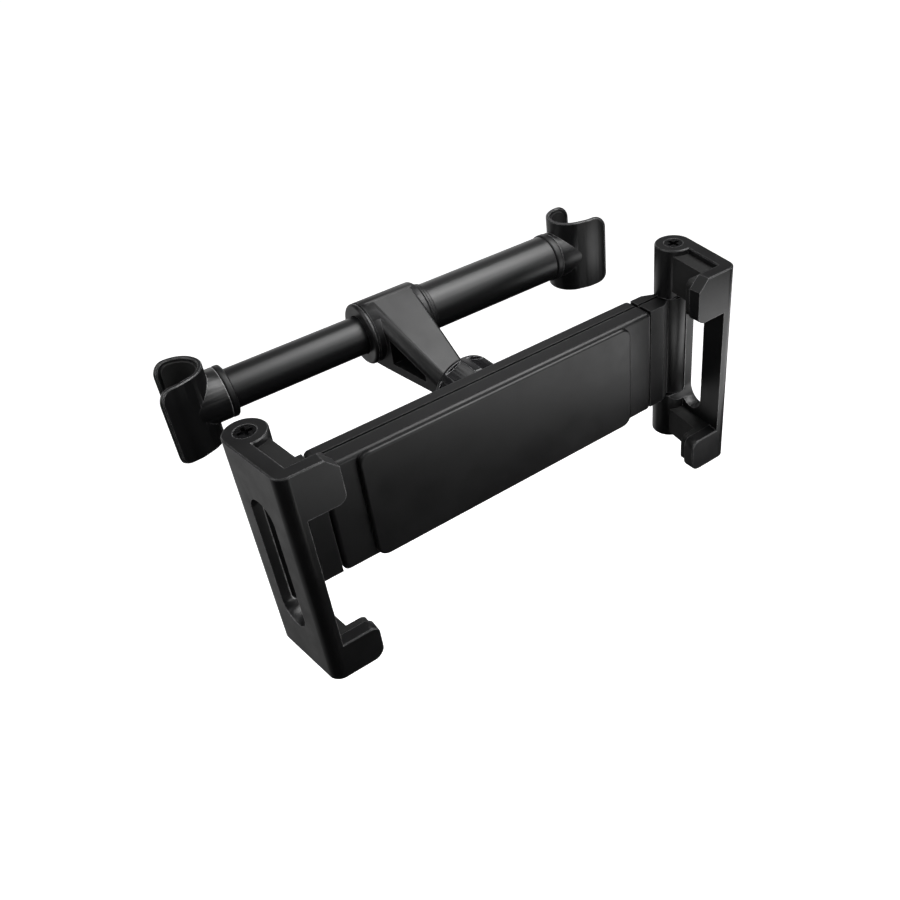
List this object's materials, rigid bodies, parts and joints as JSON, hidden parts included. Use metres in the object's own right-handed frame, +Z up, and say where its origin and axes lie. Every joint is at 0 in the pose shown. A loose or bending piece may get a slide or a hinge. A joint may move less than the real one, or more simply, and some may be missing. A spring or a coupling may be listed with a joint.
{
  "type": "headrest tablet holder",
  "caption": "Headrest tablet holder: telescopic bar with open post hooks, turning collar arm, ball joint and sprung clamp with folding claws.",
  "frame": {"origin": "post axis of the hook on the outer tube, at the height of the bar's axis", "axes": "+Z up along the headrest posts, +X along the bar away from the sliding hook, +Y towards the headrest; the tablet faces -Y"},
  "size_m": [0.1824, 0.0985, 0.0794],
  "materials": {
    "tube_paint": "semi-gloss black",
    "guide_plastic": "plain moulded",
    "ring_plastic": "dark satin",
    "hook_plastic": "satin black",
    "rubber": "matt black",
    "arm_plastic": "satin black, fine grain",
    "ball_metal": "dark burnished",
    "nut_plastic": "glossy black",
    "shell_plastic": "satin black, fine grain",
    "pad_rubber": "smooth matt black",
    "claw_plastic": "satin black, fine grain",
    "screw_steel": "black oxide",
    "spring_steel": "bright drawn wire"
  },
  "bodies": {
    "bar": {"outer_tube": "tube_paint", "tube_bush": "guide_plastic", "stop_ring": "ring_plastic", "right_hook": "hook_plastic", "right_hook_liner": "rubber", "right_neck_ring": "ring_plastic"},
    "sliding_bar": {"inner_tube": "tube_paint", "tube_plug": "guide_plastic", "left_hook": "hook_plastic", "left_hook_liner": "rubber", "left_neck_ring": "ring_plastic"},
    "arm": {"collar_arm": "arm_plastic", "ball_stud": "ball_metal"},
    "seat": {"ball_seat": "guide_plastic"},
    "nut": {"lock_nut": "nut_plastic"},
    "clamp": {"back_cover": "shell_plastic", "front_frame": "shell_plastic", "front_pad": "pad_rubber", "cover_screws": "screw_steel", "right_spring": "spring_steel", "left_spring": "spring_steel"},
    "right_runner": {"right_slide": "shell_plastic", "right_hinge_screws": "screw_steel"},
    "left_runner": {"left_slide": "shell_plastic", "left_hinge_screws": "screw_steel"},
    "right_side": {"right_claw": "claw_plastic", "right_upper_grip": "rubber", "right_lower_grip": "rubber"},
    "left_side": {"left_claw": "claw_plastic", "left_upper_grip": "rubber", "left_lower_grip": "rubber"}
  },
  "joints": [
    {"name": "bar_extend", "type": "slide", "parent": "bar", "child": "sliding_bar", "axis": [-1, 0, 0], "range_m": [-0.041, 0.018]},
    {"name": "collar_turn", "type": "hinge", "parent": "bar", "child": "arm", "pos_m": [-0.082, 0, 0], "axis": [1, 0, 0], "range_deg": [-45, 45]},
    {"name": "ball_tilt", "type": "hinge", "parent": "arm", "child": "seat", "pos_m": [-0.082, -0.0464, -0.0092], "axis": [1, 0, 0], "range_deg": [-20, 20]},
    {"name": "ball_pan", "type": "hinge", "parent": "seat", "child": "nut", "pos_m": [-0.082, -0.0464, -0.0092], "axis": [0, 0, 1], "range_deg": [-15, 15]},
    {"name": "clamp_spin", "type": "hinge", "parent": "nut", "child": "clamp", "pos_m": [-0.082, -0.0464, -0.0092], "axis": [0, 1, 0], "continuous": true},
    {"name": "right_pull", "type": "slide", "parent": "clamp", "child": "right_runner", "axis": [1, 0, 0], "range_m": [0, 0.05], "stiffness_N_per_m": 60, "springref_m": -0.05, "deforming": ["right_spring"]},
    {"name": "left_pull", "type": "slide", "parent": "clamp", "child": "left_runner", "axis": [-1, 0, 0], "range_m": [0, 0.05], "stiffness_N_per_m": 60, "springref_m": -0.05, "deforming": ["left_spring"]},
    {"name": "right_fold", "type": "hinge", "parent": "right_runner", "child": "right_side", "pos_m": [-0.0014, -0.06, -0.017], "axis": [0, 0, -1], "range_deg": [0, 55]},
    {"name": "left_fold", "type": "hinge", "parent": "left_runner", "child": "left_side", "pos_m": [-0.1626, -0.06, -0.017], "axis": [0, 0, 1], "range_deg": [0, 55]}
  ]
}
